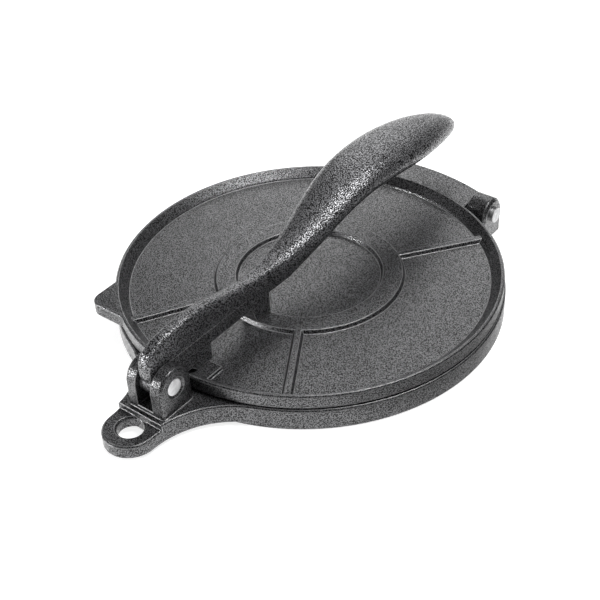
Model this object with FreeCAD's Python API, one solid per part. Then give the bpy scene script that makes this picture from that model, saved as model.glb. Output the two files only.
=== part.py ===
import FreeCAD, Part
import math
import os

V = FreeCAD.Vector
AXIS_X = V(1, 0, 0)
AXIS_Z = V(0, 0, 1)

# A hand press for flat dough: two round cast plates hinged at the back, and a cast lever
# that turns on a pin in the fork at the front. All sizes are in millimetres.
# The sizes are set out from the plates' common axis, with the fork towards -Y,
# and every piece moves along Y at the end so that the origin is under the middle of the press.

# The two round plates
plate_radius = 100.0
base_margin = 0.9
base_thickness = 12.0
top_thickness = 7.7
plate_gap = 0.3
plate_edge_chamfer = 0.8

# The raised rim, ring, ribs and pad on the upper plate
rim_width = 1.6
rim_wall_run = 4.6
rim_foot_step = 0.9
top_floor = 2.7
relief_height = 2.0
ring_outer_radius = 48.3
ring_inner_radius = 38.2
rib_width = 3.0
relief_draft = 1.2
front_rib_angle = 59.0
rear_rib_angle = 53.0
pad_half_width = 12.0
pad_reach = 16.4

# The corner tab that lifts the upper plate
lift_side_share = 0.749
lift_front_share = 0.856
lift_round = 6.5

# The underside of the base
foot_rim_width = 5.0
base_floor = 5.0
under_rib_width = 4.0
under_ring_radius = 42.0

# The lug in front of the base, with its hanging hole
hole_set_out = 31.9
lug_turn = -0.8
lug_half_width = 13.4
lug_lift = 2.2
tab_thickness = 6.6
hole_radius = 6.4
hole_chamfer = 1.0
platform_set_out = 25.3

# The fork that holds the lever
pin_radius = 4.3
fork_set_out = 12.6
fork_pin_height = 25.0
ear_radius = 10.2
fork_half_spread = 11.0
slot_half_width = 4.7
slot_floor_rise = 2.2
ear_round = 1.6
bore_chamfer = 1.2
fork_pin_recess = 0.8

# The wide hinge at the back
hinge_set_out = 1.8
hinge_height = 14.0
hinge_ear_radius = 9.0
hinge_ear_inside = 37.0
hinge_ear_thickness = 12.3
hinge_ear_reach = 30.0
hinge_side_gap = 0.5
barrel_radius = 8.0
barrel_gap = 0.6
hinge_lip_reach = 12.5
hinge_lip_thickness = 8.5
hinge_pin_stand = 2.0
hinge_ear_bevel = 1.6

# The lever: hub, web with two feet, and a broad grip
running_clearance = 0.06
lever_half_thickness = 4.4
seat_gap = 0.3
hub_radius = 7.4
nose_overhang = 1.1
web_floor_height = 26.6
first_foot_set_in = 21.5
second_foot_set_in = 65.5
foot_length = 10.4
heel_drop = 3.4
lever_reach = 256.0
station_step = 6.0
lever_low_height = 34.0
grip_rise = 21.0
grip_half_width = 18.5
lever_half_depth = 8.5

overrun = 5.0
tolerance = 0.005

# Heights that follow from the sizes above
top_bottom_z = base_thickness + plate_gap
top_z = top_bottom_z + top_thickness
floor_z = top_bottom_z + top_floor
relief_z = floor_z + relief_height
slot_floor_z = base_thickness + slot_floor_rise
foot_z = relief_z + seat_gap
# Places that follow from the plate's radius and the sizes above
base_radius = plate_radius + base_margin
hole_distance = base_radius + hole_set_out
platform_front = base_radius + platform_set_out
fork_pin_distance = base_radius + fork_set_out
hinge_distance = base_radius + hinge_set_out
hinge_lip_radius = hinge_distance + hinge_lip_reach
nose_y = -fork_pin_distance - hub_radius - nose_overhang
grip_tip = nose_y + lever_reach
origin_shift = (hole_distance + lug_half_width - grip_tip) / 2


def wire(edges):
    return Part.Wire(Part.__sortEdges__(edges))


def line(a, b):
    return Part.makeLine(V(*a), V(*b))


def arc(a, b, c):
    return Part.Arc(V(*a), V(*b), V(*c)).toShape()


def solid_of(edges, sweep):
    return Part.Face(wire(edges)).extrude(sweep)


def revolve(points):
    """An outline of radii and heights, turned about the plates' axis."""
    closed = [V(r, 0, z) for r, z in points]
    closed.append(closed[0])
    return Part.Face(Part.makePolygon(closed)).revolve(V(0, 0, 0), AXIS_Z, 360)


def box(x0, x1, y0, y1, z0, z1):
    return Part.makeBox(x1 - x0, y1 - y0, z1 - z0, V(x0, y0, z0))


def rod(radius, half_length, y, z):
    return Part.makeCylinder(radius, half_length * 2, V(-half_length, y, z), AXIS_X)


def prism(points, half_width):
    """A flat outline in the YZ plane, given its thickness both ways along X."""
    closed = [V(-half_width, y, z) for y, z in points]
    closed.append(closed[0])
    return Part.Face(Part.makePolygon(closed)).extrude(V(half_width * 2, 0, 0))


def rib(inner, outer, width, z0, z1, draft, angle):
    """A straight radial rib with sloping sides, wider at z0 than at z1."""
    low, high = width / 2 + draft, width / 2
    foot = [(-low, z0), (low, z0), (high, z1), (-high, z1)]
    closed = [V(inner, y, z) for y, z in foot]
    closed.append(closed[0])
    bar = Part.Face(Part.makePolygon(closed)).extrude(V(outer - inner, 0, 0))
    bar.rotate(V(0, 0, 0), AXIS_Z, angle)
    return bar


def rib_angles():
    return [rear_rib_angle, 180 - front_rib_angle, 180 + front_rib_angle, -front_rib_angle]


def ear(pin_y, pin_z, radius, foot_z_low, x0, x1):
    """An upright ear with a round top about its pin."""
    front, rear = pin_y - radius, pin_y + radius
    edges = [
        line((x0, front, foot_z_low), (x0, front, pin_z)),
        arc((x0, front, pin_z), (x0, pin_y, pin_z + radius), (x0, rear, pin_z)),
        line((x0, rear, pin_z), (x0, rear, foot_z_low)),
        line((x0, rear, foot_z_low), (x0, front, foot_z_low)),
    ]
    return solid_of(edges, V(x1 - x0, 0, 0))


def edges_where(shape, test):
    return [e for e in shape.Edges if test(e)]


def level_edges(shape, levels):
    """The outer edges that lie level, at any of the given heights."""
    found = []
    for e in shape.Edges:
        b = e.BoundBox
        if b.ZLength > tolerance or min(abs(b.ZMin - z) for z in levels) > tolerance:
            continue
        if isinstance(e.Curve, Part.Line):
            continue
        found.append(e)
    return found


def bore_mouth(radius, chamfer, centre, outward):
    """The cone that eases the mouth of a bore, from the middle of the mouth."""
    wide = radius + chamfer + overrun
    return Part.makeCone(wide, radius, chamfer + overrun, centre + outward * overrun, outward * -1)


def build_lug():
    """The flared lug: concave flanks run from the round plate into the round end."""
    w, h, r = lug_half_width, hole_distance, base_radius
    flank = (w * w + h * h - r * r) / (2 * (r - w))
    centre_x, centre_y = w + flank, -h
    reach = math.hypot(centre_x, centre_y)
    touch_x, touch_y = centre_x * r / reach, centre_y * r / reach
    half_turn = (math.atan2(touch_y - centre_y, touch_x - centre_x) + math.pi) / 2
    mid_x = centre_x + flank * math.cos(half_turn)
    mid_y = centre_y + flank * math.sin(half_turn)
    edges = [
        arc((touch_x, touch_y, 0), (mid_x, mid_y, 0), (w, -h, 0)),
        arc((w, -h, 0), (0, -h - w, 0), (-w, -h, 0)),
        arc((-w, -h, 0), (-mid_x, mid_y, 0), (-touch_x, touch_y, 0)),
        line((-touch_x, touch_y, 0), (touch_x, touch_y, 0)),
    ]
    lug = solid_of(edges, V(0, 0, base_thickness))
    lug = lug.cut(box(-r, r, -2 * r, -platform_front, lug_lift + tab_thickness, r))
    lug = lug.cut(box(-r, r, -2 * r, 0, 0, lug_lift))
    lug.rotate(V(0, 0, 0), AXIS_Z, lug_turn)
    return lug


def build_hanging_hole():
    """The hanging hole with its eased mouths, as a solid to cut away."""
    hole = Part.makeCylinder(hole_radius, base_thickness + overrun * 2, V(0, -hole_distance, -overrun))
    tab_side = box(-base_radius, base_radius, -2 * base_radius, -platform_front, -overrun, base_radius)
    for z, way in ((lug_lift, -1), (lug_lift + tab_thickness, 1)):
        mouth = bore_mouth(hole_radius, hole_chamfer, V(0, -hole_distance, z), AXIS_Z * way)
        hole = hole.fuse(mouth.common(tab_side))
    hole.rotate(V(0, 0, 0), AXIS_Z, lug_turn)
    return hole


def build_base():
    r, t = base_radius, base_thickness
    disc = Part.makeCylinder(r, t)
    footed = disc.makeChamfer(plate_edge_chamfer, level_edges(disc, (0,)))
    body = footed.fuse(build_lug()).removeSplitter()
    body = body.makeChamfer(plate_edge_chamfer, level_edges(body, (lug_lift + tab_thickness, t)))
    # the recessed underside, with the same ribs and ring as the upper plate
    inner = r - foot_rim_width
    depth = t - base_floor
    hollow = revolve([
        (0, -overrun), (inner, -overrun), (inner, 0), (inner - relief_draft, depth), (0, depth),
    ])
    outer_ring = under_ring_radius + under_rib_width / 2
    ring = Part.makeCylinder(outer_ring, depth)
    ring = ring.cut(Part.makeCylinder(outer_ring - under_rib_width, depth))
    hollow = hollow.cut(ring)
    for angle in rib_angles():
        hollow = hollow.cut(rib(under_ring_radius, r, under_rib_width, depth, 0, relief_draft, angle))
    body = body.cut(hollow)
    # the flat across the back, where the upper plate's barrel turns
    flat_y = hinge_distance - barrel_radius - barrel_gap
    body = body.cut(box(-hinge_ear_inside, hinge_ear_inside, flat_y, r + overrun, -overrun, t + overrun))
    backing = box(-hinge_ear_inside, hinge_ear_inside, flat_y - foot_rim_width, flat_y, 0, t)
    body = body.fuse(backing.common(disc))
    # the hinge ears and their feet in the plate
    for side in (-1, 1):
        x0 = hinge_ear_inside
        x1 = hinge_ear_inside + hinge_ear_thickness
        one = ear(hinge_distance, hinge_height, hinge_ear_radius, 0, x0, x1)
        rim = edges_where(
            one,
            lambda e: abs(e.CenterOfMass.x - x1) < tolerance and e.BoundBox.ZMax > plate_edge_chamfer,
        )
        one = one.makeChamfer(hinge_ear_bevel, rim)
        front = hinge_distance - hinge_ear_radius
        foot = box(x0, x1, front - hinge_ear_reach + hinge_ear_radius, front + hinge_ear_radius, 0, t)
        one = one.fuse(foot).removeSplitter()
        if side < 0:
            one = one.mirror(V(0, 0, 0), AXIS_X)
        body = body.fuse(one)
    # the fork
    half = fork_half_spread
    fork = ear(-fork_pin_distance, fork_pin_height, ear_radius, t - overrun, -half, half)
    rounded = edges_where(
        fork,
        lambda e: abs(abs(e.CenterOfMass.x) - half) < tolerance and e.BoundBox.ZMax > t,
    )
    fork = fork.makeFillet(ear_round, rounded)
    slot_end = fork_pin_distance + ear_radius + overrun
    slot_start = fork_pin_distance - ear_radius - overrun
    slot_top = fork_pin_height + ear_radius + overrun
    fork = fork.cut(box(-slot_half_width, slot_half_width, -slot_end, -slot_start, slot_floor_z, slot_top))
    body = body.fuse(fork).removeSplitter()
    # the bores for both pins and the hanging hole
    body = body.cut(rod(pin_radius, half + overrun, -fork_pin_distance, fork_pin_height))
    hinge_half = hinge_ear_inside + hinge_ear_thickness
    body = body.cut(rod(pin_radius, hinge_half + overrun, hinge_distance, hinge_height))
    for side in (-1, 1):
        centre = V(side * half, -fork_pin_distance, fork_pin_height)
        body = body.cut(bore_mouth(pin_radius, bore_chamfer, centre, AXIS_X * side))
    return body.cut(build_hanging_hole())


def build_top():
    r = plate_radius
    inner = r - rim_width
    foot = inner - rim_wall_run
    slope = [
        (0, floor_z), (foot - rim_foot_step / 2, floor_z), (foot, floor_z + rim_foot_step), (inner, top_z),
    ]
    body = revolve([(0, top_bottom_z), (r, top_bottom_z), (r, top_z)] + slope[::-1])
    rims = edges_where(
        body,
        lambda e: isinstance(e.Curve, Part.Circle) and abs(e.Curve.Radius - r) < tolerance,
    )
    body = body.makeChamfer(plate_edge_chamfer, rims)
    disc = Part.makeCylinder(r, top_thickness, V(0, 0, top_bottom_z))
    well = revolve(slope + [(inner, top_z + overrun), (0, top_z + overrun)])
    # the raised ring, ribs and pad
    ring = revolve([
        (ring_inner_radius - relief_draft, floor_z), (ring_outer_radius + relief_draft, floor_z),
        (ring_outer_radius, relief_z), (ring_inner_radius, relief_z),
    ])
    body = body.fuse(ring)
    middle = (ring_inner_radius + ring_outer_radius) / 2
    for angle in rib_angles():
        bar = rib(middle, r, rib_width, floor_z, relief_z, relief_draft, angle)
        body = body.fuse(bar.common(disc))
    pad = box(-pad_half_width, pad_half_width, -r, pad_reach - r, floor_z, relief_z)
    body = body.fuse(pad.common(disc))
    # the lift tab: a square corner outside the rim
    x, y, q = r * lift_side_share, r * lift_front_share, lift_round
    bend = q * (1 - math.sqrt(0.5))
    edges = [
        line((0, 0, top_bottom_z), (-x, 0, top_bottom_z)),
        line((-x, 0, top_bottom_z), (-x, -y + q, top_bottom_z)),
        arc((-x, -y + q, top_bottom_z), (-x + bend, -y + bend, top_bottom_z), (-x + q, -y, top_bottom_z)),
        line((-x + q, -y, top_bottom_z), (0, -y, top_bottom_z)),
        line((0, -y, top_bottom_z), (0, 0, top_bottom_z)),
    ]
    tab = solid_of(edges, V(0, 0, top_thickness))
    corners = edges_where(
        tab,
        lambda e: e.BoundBox.ZLength < tolerance
        and (e.CenterOfMass.x < -x + q or e.CenterOfMass.y < -y + q),
    )
    tab = tab.makeChamfer(plate_edge_chamfer, corners).cut(well)
    body = body.fuse(tab)
    # the hinge lip and the barrel below it
    half = hinge_ear_inside - hinge_side_gap
    lip = Part.makeCylinder(hinge_lip_radius, hinge_lip_thickness, V(0, 0, top_z - hinge_lip_thickness))
    lip = lip.common(box(-half, half, hinge_distance, hinge_lip_radius + overrun, 0, top_z))
    bridge = box(-half, half, 0, hinge_distance, top_bottom_z, top_z).cut(well)
    barrel = rod(barrel_radius, half, hinge_distance, hinge_height)
    barrel = barrel.common(box(-half, half, 0, hinge_lip_radius, 0, top_z)).cut(well)
    body = body.fuse([lip, bridge, barrel]).removeSplitter()
    return body.cut(rod(pin_radius + running_clearance, half + overrun, hinge_distance, hinge_height))


def station(y, z, half_width, half_depth, squareness):
    """A closed section across the lever: four quarter curves, squarer as squareness nears one."""
    edges = []
    for side, top in ((1, 1), (-1, 1), (-1, -1), (1, -1)):
        w, d = side * half_width, top * half_depth
        poles = [
            V(w, y, z), V(w, y, z + d * squareness),
            V(w * squareness, y, z + d), V(0, y, z + d),
        ]
        if side != top:
            poles.reverse()
        quarter = Part.BezierCurve()
        quarter.setPoles(poles)
        edges.append(quarter.toShape())
    return Part.Wire(edges)


# Each row: place along the lever, rise of its middle, width, depth, and how square the section is
lever_shares = [
    (0.000, 0.000, 0.125, 0.35, 0.71),
    (0.004, 0.004, 0.190, 0.70, 0.84),
    (0.012, 0.024, 0.226, 0.98, 0.86),
    (0.026, 0.066, 0.236, 1.13, 0.86),
    (0.050, 0.130, 0.236, 1.20, 0.86),
    (0.094, 0.168, 0.236, 1.25, 0.86),
    (0.142, 0.165, 0.236, 1.25, 0.86),
    (0.189, 0.120, 0.236, 1.14, 0.86),
    (0.236, 0.055, 0.236, 0.99, 0.86),
    (0.276, 0.005, 0.237, 0.89, 0.86),
    (0.305, 0.002, 0.245, 0.84, 0.86),
    (0.339, 0.020, 0.285, 0.84, 0.84),
    (0.383, 0.080, 0.400, 0.86, 0.77),
    (0.425, 0.225, 0.490, 0.83, 0.69),
    (0.472, 0.430, 0.615, 0.82, 0.61),
    (0.521, 0.665, 0.715, 0.83, 0.58),
    (0.572, 0.870, 0.805, 0.88, 0.58),
    (0.628, 0.990, 0.890, 0.96, 0.58),
    (0.694, 1.000, 0.962, 1.02, 0.58),
    (0.756, 0.950, 1.000, 1.03, 0.58),
    (0.821, 0.870, 0.960, 0.99, 0.58),
    (0.884, 0.765, 0.830, 0.90, 0.58),
    (0.947, 0.620, 0.600, 0.70, 0.58),
    (0.982, 0.510, 0.360, 0.44, 0.58),
    (0.995, 0.460, 0.190, 0.23, 0.58),
]


def smooth_rows(rows):
    """The rows with more between them, each column on a smooth curve through its rows."""
    found = []
    for i in range(len(rows) - 1):
        before, start = rows[max(i - 1, 0)], rows[i]
        end, after = rows[i + 1], rows[min(i + 2, len(rows) - 1)]
        span = end[0] - start[0]
        steps = math.ceil(span * lever_reach / station_step)
        for k in range(steps):
            t = k / steps
            row = [start[0] + span * t]
            for c in range(1, len(start)):
                leave = (end[c] - before[c]) / (end[0] - before[0]) * span
                arrive = (after[c] - start[c]) / (after[0] - start[0]) * span
                bend = start[c] * (2 * t ** 3 - 3 * t ** 2 + 1) + end[c] * (3 * t ** 2 - 2 * t ** 3)
                row.append(bend + leave * (t ** 3 - 2 * t ** 2 + t) + arrive * (t ** 3 - t ** 2))
            found.append(row)
    found.append(rows[-1])
    return found


def build_lever():
    py, pz = -fork_pin_distance, fork_pin_height
    first, second = py + first_foot_set_in, py + second_foot_set_in
    outline = [
        (py, pz), (py, lever_low_height), (second + foot_length, lever_low_height),
        (second + foot_length, foot_z), (second, foot_z),
        (second - heel_drop, web_floor_height), (first + foot_length, web_floor_height),
        (first + foot_length, foot_z), (first, foot_z),
        (first - heel_drop, foot_z + heel_drop),
        (py + hub_radius, pz - hub_radius / 2),
    ]
    web = prism(outline, lever_half_thickness)
    hub = rod(hub_radius, lever_half_thickness, py, pz)
    wires = []
    for place, rise, width, depth, squareness in smooth_rows(lever_shares):
        wires.append(station(
            nose_y + place * lever_reach, lever_low_height + rise * grip_rise,
            width * grip_half_width, depth * lever_half_depth, squareness,
        ))
    tip = Part.Vertex(V(0, grip_tip, lever_low_height + lever_shares[-1][1] * grip_rise))
    arm = Part.makeLoft(wires + [tip], True, True)
    body = arm.fuse([web, hub])
    return body.cut(rod(pin_radius + running_clearance, lever_half_thickness + overrun, py, pz))


def build_fork_pin():
    return rod(pin_radius, fork_half_spread - fork_pin_recess, -fork_pin_distance, fork_pin_height)


def build_hinge_pin():
    half = hinge_ear_inside + hinge_ear_thickness + hinge_pin_stand
    return rod(pin_radius, half, hinge_distance, hinge_height)


pieces = {
    "base_plate": build_base(),
    "upper_plate": build_top(),
    "lever": build_lever(),
    "lever_pin": build_fork_pin(),
    "hinge_pin": build_hinge_pin(),
}
os.makedirs("parts", exist_ok=True)
for name, shape in pieces.items():
    shape.translate(V(0, origin_shift, 0))
    shape.exportStep("parts/" + name + ".step")
    print(name, "solids", len(shape.Solids), "valid", shape.isValid(), shape.BoundBox)
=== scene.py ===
import bpy
import math
from mathutils import Matrix, Vector

# A cast press for flat dough, painted in dark grey hammertone, on a plain pale floor.
# Lengths are in metres, unless a name says otherwise. The camera's angles are in degrees, and
# greys run from 0 for black to 1 for white.

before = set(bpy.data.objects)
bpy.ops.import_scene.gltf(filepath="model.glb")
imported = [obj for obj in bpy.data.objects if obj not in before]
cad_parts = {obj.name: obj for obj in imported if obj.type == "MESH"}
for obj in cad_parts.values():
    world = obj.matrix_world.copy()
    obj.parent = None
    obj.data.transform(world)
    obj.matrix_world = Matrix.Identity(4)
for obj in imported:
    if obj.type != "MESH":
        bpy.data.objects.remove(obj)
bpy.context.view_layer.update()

# The camera: where it looks from, and the point of the press that it is set out from
CAMERA_AZIMUTH = 39.49
CAMERA_ELEVATION = 37.55
CAMERA_ROLL = -3.113
CAMERA_DISTANCE = 0.628321
PLATE_CENTRE = Vector((0.0, 0.0061, 0.0))
FOCAL_PIXELS = 1192.705
CENTRE_PIXEL = (310.519, 297.076)
IMAGE_PIXELS = 600
SENSOR_MM = 36.0
CLIP_NEAR = 0.01
CLIP_FAR = 50.0

# The paint: a fine mottle under a millimetre across, finer on the plates than on the lever,
# over slow waves of the casting. The mottle turns from dark to pale over PAINT_RAMP of its value
PLATE_MOTTLE_PER_METRE = 1900.0
LEVER_MOTTLE_PER_METRE = 1600.0
PLATE_MOTTLE_DEPTH = 0.00012
LEVER_MOTTLE_DEPTH = 0.00024
PLATE_DARK = 0.003
PLATE_PALE = 0.12
# The lever's greys: the same paint as the plates', painted paler as painted light on the lever
LEVER_DARK = 0.004
LEVER_PALE = 0.22
PAINT_BLUE = 1.045
PAINT_METALLIC = 0.6
PAINT_RAMP = (0.45, 0.56)
WAVES_PER_METRE = 55.0
WAVES_DEPTH = 0.0006
WAVES_STRENGTH = 0.35
WAVES_SHADE = (0.9, 1.1)
GRAIN_TURN_RADIANS = (0.6, 0.5, 0.4)

# The gloss: over each span of the mottle's value, what the roughness and the clear coat do
ROUGHNESS_SPAN = (0.35, 0.65)
ROUGHNESS = (0.46, 0.32)
COAT_SPAN = (0.43, 0.58)
COAT_WEIGHT = (0.1, 0.9)
COAT_ROUGHNESS = 0.2

# The paint's edges: softened, and painted paler as the cosine between the softened normal and
# the face's own falls from the first value to the second, a painted highlight along every edge
EDGE_RADIUS = 0.0008
EDGE_SAMPLES = 6
EDGE_COSINES = (0.995, 0.9)
EDGE_SHARE = (0.0, 0.9)
EDGE_PALER = 3.2
EDGE_PALER_BLUE = 3.25

# The steel of the two pins
STEEL_BLUE = 1.01
STEEL_METALLIC = 0.85
STEEL_RAMP = (0.4, 0.6)
STEEL_GRAIN_PER_METRE = 500.0
STEEL_GRAIN_DEPTH = 0.00008
STEEL_GRAIN_STRENGTH = 0.5
STEEL_UNEVEN = 0.15
STEEL_EDGE_RADIUS = 0.0006
STEEL_EDGE_SAMPLES = 4

# The span that most of a noise's values lie in
NOISE_SPAN = (0.3, 0.7)

# The floor: white to the camera far off, and a little under white round the press, so that
# its shadow shows
FLOOR_HALF = 6.0
FLOOR_GREY = 0.6
WHITE_REACH = (0.3, 0.9)
WHITE = (0.82, 1.0)

# The glow of the floor that only the paint mirrors, a painted reflection: it fades out to the
# right, level with the plates' rim, a painted shadow which keeps that side of the press dark
MIRROR_FADE = (0.08, 0.11)
MIRROR_GLOW = (1.2, 0.0)

# The world: white to the camera, and a faint light for everything else
WORLD_WHITE = 1.0
WORLD_LIGHT = 0.12

scene = bpy.context.scene
scene.view_settings.view_transform = "Standard"


def new_material(name):
    material = bpy.data.materials.new(name)
    material.use_nodes = True
    tree = material.node_tree
    tree.nodes.clear()
    out = tree.nodes.new("ShaderNodeOutputMaterial")
    return material, tree, out


def add(tree, kind, **values):
    node = tree.nodes.new(kind)
    for key, value in values.items():
        setattr(node, key, value)
    return node


def grain_space(tree):
    """Object coordinates turned askew, so that no face lies along the noise's own grid."""
    askew = add(tree, "ShaderNodeMapping")
    askew.inputs["Rotation"].default_value = GRAIN_TURN_RADIANS
    tree.links.new(add(tree, "ShaderNodeTexCoord").outputs["Object"], askew.inputs["Vector"])
    return askew.outputs["Vector"]


def noise(tree, where, scale, detail):
    node = add(tree, "ShaderNodeTexNoise")
    node.inputs["Scale"].default_value = scale
    node.inputs["Detail"].default_value = detail
    tree.links.new(where, node.inputs["Vector"])
    return node.outputs["Fac"]


def spread(tree, value, span, new_span):
    """The value, with the span from one end to the other stretched to a new one."""
    node = add(tree, "ShaderNodeMapRange")
    node.inputs["From Min"].default_value = span[0]
    node.inputs["From Max"].default_value = span[1]
    node.inputs["To Min"].default_value = new_span[0]
    node.inputs["To Max"].default_value = new_span[1]
    tree.links.new(value, node.inputs["Value"])
    return node.outputs["Result"]


def two_tone(tree, value, span, dark, pale, blue):
    """Dark grey below the span of the value and pale grey above it, with the blue scaled."""
    ramp = add(tree, "ShaderNodeValToRGB")
    first, last = ramp.color_ramp.elements
    first.position = span[0]
    first.color = (dark, dark, dark * blue, 1)
    last.position = span[1]
    last.color = (pale, pale, pale * blue, 1)
    tree.links.new(value, ramp.inputs["Fac"])
    return ramp.outputs["Color"]


def soft_edges(tree, radius, samples):
    """The surface's normal, with its sharp edges rounded off over the radius."""
    node = add(tree, "ShaderNodeBevel", samples=samples)
    node.inputs["Radius"].default_value = radius
    return node.outputs["Normal"]


def bump(tree, height, distance, strength, under):
    node = add(tree, "ShaderNodeBump")
    node.inputs["Distance"].default_value = distance
    node.inputs["Strength"].default_value = strength
    tree.links.new(height, node.inputs["Height"])
    tree.links.new(under, node.inputs["Normal"])
    return node.outputs["Normal"]


def edge_share(tree, soft_normal):
    """How far a spot belongs to an edge, the mask of the painted edge highlight: none on a face,
    and up to the full share on an edge.
    """
    face_normal = add(tree, "ShaderNodeNewGeometry").outputs["Normal"]
    cosine = add(tree, "ShaderNodeVectorMath", operation="DOT_PRODUCT")
    tree.links.new(soft_normal, cosine.inputs[0])
    tree.links.new(face_normal, cosine.inputs[1])
    return spread(tree, cosine.outputs["Value"], EDGE_COSINES, EDGE_SHARE)


def hammertone(name, mottle_per_metre, depth, dark, pale):
    """Grey hammertone paint over a casting: dark hollows, paler bumps, and edges painted palest
    as a painted highlight.
    """
    material, tree, out = new_material(name)
    place = grain_space(tree)
    shader = add(tree, "ShaderNodeBsdfPrincipled")
    shader.inputs["Metallic"].default_value = PAINT_METALLIC
    shader.inputs["Coat Roughness"].default_value = COAT_ROUGHNESS
    tree.links.new(shader.outputs["BSDF"], out.inputs["Surface"])

    mottle = noise(tree, place, mottle_per_metre, detail=0.0)
    waves = noise(tree, place, WAVES_PER_METRE, detail=2.0)
    colour = two_tone(tree, mottle, PAINT_RAMP, dark, pale, PAINT_BLUE)
    shade = add(tree, "ShaderNodeMix", data_type="RGBA", blend_type="MULTIPLY")
    shade.inputs["Factor"].default_value = 1.0
    tree.links.new(colour, shade.inputs["A"])
    tree.links.new(spread(tree, waves, NOISE_SPAN, WAVES_SHADE), shade.inputs["B"])

    soft_normal = soft_edges(tree, EDGE_RADIUS, EDGE_SAMPLES)
    # A painted highlight: every edge is painted paler, whatever the light
    painted_edge_highlight = add(tree, "ShaderNodeMix", data_type="RGBA")
    edge_highlight_grey = pale * EDGE_PALER
    painted_edge_highlight.inputs["B"].default_value = (edge_highlight_grey, edge_highlight_grey, pale * EDGE_PALER_BLUE, 1)
    tree.links.new(edge_share(tree, soft_normal), painted_edge_highlight.inputs["Factor"])
    tree.links.new(shade.outputs["Result"], painted_edge_highlight.inputs["A"])
    tree.links.new(painted_edge_highlight.outputs["Result"], shader.inputs["Base Color"])

    tree.links.new(spread(tree, mottle, ROUGHNESS_SPAN, ROUGHNESS), shader.inputs["Roughness"])
    tree.links.new(spread(tree, mottle, COAT_SPAN, COAT_WEIGHT), shader.inputs["Coat Weight"])

    wavy = bump(tree, waves, WAVES_DEPTH, WAVES_STRENGTH, under=soft_normal)
    mottled = bump(tree, mottle, depth, 1.0, under=wavy)
    tree.links.new(mottled, shader.inputs["Normal"])
    tree.links.new(mottled, shader.inputs["Coat Normal"])
    return material


def turned_steel(name, dark, pale, rough):
    """Bare steel rod, a little uneven in tone and with softened ends."""
    material, tree, out = new_material(name)
    place = grain_space(tree)
    shader = add(tree, "ShaderNodeBsdfPrincipled")
    shader.inputs["Metallic"].default_value = STEEL_METALLIC
    tree.links.new(shader.outputs["BSDF"], out.inputs["Surface"])
    grain = noise(tree, place, STEEL_GRAIN_PER_METRE, detail=2.0)
    colour = two_tone(tree, grain, STEEL_RAMP, dark, pale, STEEL_BLUE)
    tree.links.new(colour, shader.inputs["Base Color"])
    roughness = (rough * (1 - STEEL_UNEVEN), rough * (1 + STEEL_UNEVEN))
    tree.links.new(spread(tree, grain, NOISE_SPAN, roughness), shader.inputs["Roughness"])
    soft_normal = soft_edges(tree, STEEL_EDGE_RADIUS, STEEL_EDGE_SAMPLES)
    grained = bump(tree, grain, STEEL_GRAIN_DEPTH, STEEL_GRAIN_STRENGTH, under=soft_normal)
    tree.links.new(grained, shader.inputs["Normal"])
    return material


def paint(node, material):
    """Puts the material into every slot of a part from model.glb."""
    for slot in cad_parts[node].material_slots:
        slot.material = material


plate_paint = hammertone(
    "hammertone_plates", PLATE_MOTTLE_PER_METRE, PLATE_MOTTLE_DEPTH, PLATE_DARK, PLATE_PALE)
# The lever's paint is the plates' paint with a paler grey, painted light
lever_paint = hammertone(
    "hammertone_lever", LEVER_MOTTLE_PER_METRE, LEVER_MOTTLE_DEPTH, LEVER_DARK, LEVER_PALE)
# The lever pin's steel is painted far paler than the hinge pin's, as painted light on its end
steel_painted_brighter = turned_steel("steel_painted_brighter", dark=0.86, pale=0.98, rough=0.45)
dull_steel = turned_steel("dull_steel", dark=0.4, pale=0.6, rough=0.4)
paint("base_plate", plate_paint)
paint("upper_plate", plate_paint)
paint("lever", lever_paint)
paint("lever_pin", steel_painted_brighter)
paint("hinge_pin", dull_steel)


def floor_glow(tree):
    """The floor's own light: one strength for the camera, and another, a painted reflection, for
    what mirrors it.
    """
    rays = add(tree, "ShaderNodeLightPath")
    ground = add(tree, "ShaderNodeNewGeometry").outputs["Position"]
    reach = add(tree, "ShaderNodeVectorMath", operation="LENGTH")
    tree.links.new(ground, reach.inputs[0])
    whiter = spread(tree, reach.outputs["Value"], WHITE_REACH, WHITE)
    seen = add(tree, "ShaderNodeMath", operation="MULTIPLY")
    tree.links.new(rays.outputs["Is Camera Ray"], seen.inputs[0])
    tree.links.new(whiter, seen.inputs[1])
    across = add(tree, "ShaderNodeSeparateXYZ")
    tree.links.new(ground, across.inputs["Vector"])
    # Painted reflection and painted shadow: the glow the paint mirrors fades out to the right of
    # the press
    painted_reflection_fade = spread(tree, across.outputs["X"], MIRROR_FADE, MIRROR_GLOW)
    strength = add(tree, "ShaderNodeMath", operation="MULTIPLY_ADD")
    tree.links.new(rays.outputs["Is Glossy Ray"], strength.inputs[0])
    tree.links.new(painted_reflection_fade, strength.inputs[1])
    tree.links.new(seen.outputs["Value"], strength.inputs[2])
    glow = add(tree, "ShaderNodeEmission")
    tree.links.new(strength.outputs["Value"], glow.inputs["Strength"])
    return glow.outputs["Emission"]


def build_floor():
    """A plain pale floor under the press, which takes its shadow."""
    half = FLOOR_HALF
    mesh = bpy.data.meshes.new("floor")
    corners = [(-half, -half, 0), (half, -half, 0), (half, half, 0), (-half, half, 0)]
    mesh.from_pydata(corners, [], [(0, 1, 2, 3)])
    floor = bpy.data.objects.new("floor", mesh)
    scene.collection.objects.link(floor)
    material, tree, out = new_material("pale_floor")
    cover = add(tree, "ShaderNodeBsdfDiffuse")
    cover.inputs["Color"].default_value = (FLOOR_GREY, FLOOR_GREY, FLOOR_GREY, 1)
    both = add(tree, "ShaderNodeAddShader")
    tree.links.new(cover.outputs["BSDF"], both.inputs[0])
    tree.links.new(floor_glow(tree), both.inputs[1])
    tree.links.new(both.outputs["Shader"], out.inputs["Surface"])
    mesh.materials.append(material)


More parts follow.
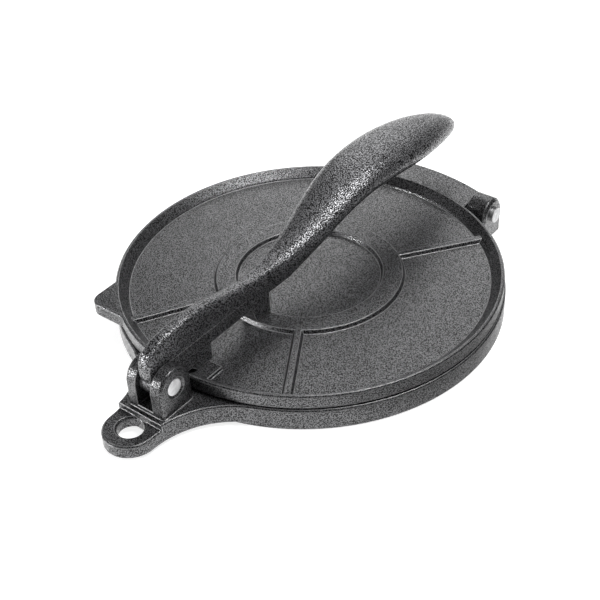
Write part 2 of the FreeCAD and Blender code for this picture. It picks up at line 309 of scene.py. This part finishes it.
def build_world():
    world = bpy.data.worlds.new("studio")
    world.use_nodes = True
    tree = world.node_tree
    tree.nodes.clear()
    out = add(tree, "ShaderNodeOutputWorld")
    rays = add(tree, "ShaderNodeLightPath")
    white = add(tree, "ShaderNodeBackground")
    white.inputs["Color"].default_value = (1, 1, 1, 1)
    white.inputs["Strength"].default_value = WORLD_WHITE
    faint = add(tree, "ShaderNodeBackground")
    faint.inputs["Color"].default_value = (1, 1, 1, 1)
    faint.inputs["Strength"].default_value = WORLD_LIGHT
    pick = add(tree, "ShaderNodeMixShader")
    tree.links.new(rays.outputs["Is Camera Ray"], pick.inputs["Fac"])
    tree.links.new(faint.outputs["Background"], pick.inputs[1])
    tree.links.new(white.outputs["Background"], pick.inputs[2])
    tree.links.new(pick.outputs["Shader"], out.inputs["Surface"])
    scene.world = world


def camera_axes():
    """Right, down and forward, as the camera sees them."""
    azimuth = math.radians(CAMERA_AZIMUTH)
    elevation = math.radians(CAMERA_ELEVATION)
    roll = math.radians(CAMERA_ROLL)
    level = math.cos(elevation)
    back = Vector((math.sin(azimuth) * level, -math.cos(azimuth) * level, math.sin(elevation)))
    forward = -back
    right = forward.cross(Vector((0, 0, 1))).normalized()
    down = forward.cross(right)
    turned_right = right * math.cos(roll) - down * math.sin(roll)
    turned_down = right * math.sin(roll) + down * math.cos(roll)
    return turned_right, turned_down, forward


def build_camera():
    """A camera that shows the plates' centre at CENTRE_PIXEL, CAMERA_DISTANCE ahead of it."""
    right, down, forward = camera_axes()
    middle = IMAGE_PIXELS / 2
    across = (CENTRE_PIXEL[0] - middle) * CAMERA_DISTANCE / FOCAL_PIXELS
    below = (CENTRE_PIXEL[1] - middle) * CAMERA_DISTANCE / FOCAL_PIXELS
    place = PLATE_CENTRE - right * across - down * below - forward * CAMERA_DISTANCE
    data = bpy.data.cameras.new("camera")
    data.sensor_width = SENSOR_MM
    data.lens = FOCAL_PIXELS * SENSOR_MM / IMAGE_PIXELS
    data.clip_start = CLIP_NEAR
    data.clip_end = CLIP_FAR
    camera = bpy.data.objects.new("camera", data)
    scene.collection.objects.link(camera)
    turn = Matrix((right, -down, -forward)).transposed()
    camera.matrix_world = Matrix.Translation(place) @ turn.to_4x4()
    scene.camera = camera


def area_light(name, power, size, place):
    """A soft square lamp at a place measured from the plates' centre, turned towards them."""
    data = bpy.data.lights.new(name, "AREA")
    data.energy = power
    data.shape = "SQUARE"
    data.size = size
    lamp = bpy.data.objects.new(name, data)
    scene.collection.objects.link(lamp)
    where = PLATE_CENTRE + Vector(place)
    turn = (PLATE_CENTRE - where).to_track_quat("-Z", "Y").to_matrix()
    lamp.matrix_world = Matrix.Translation(where) @ turn.to_4x4()


build_floor()
build_world()
build_camera()
# The first lamp lights the grip, the second the flats by reflection, and the third, small and
# low at the front left, puts the white spots on the lever's nose and the fork
area_light("overhead", power=6.2, size=0.28, place=(0.25, 0.1, 0.88))
area_light("back", power=3.0, size=0.68, place=(-0.5, 0.78, 0.65))
area_light("spark", power=6.0, size=0.07, place=(-0.53, -0.88, 0.27))
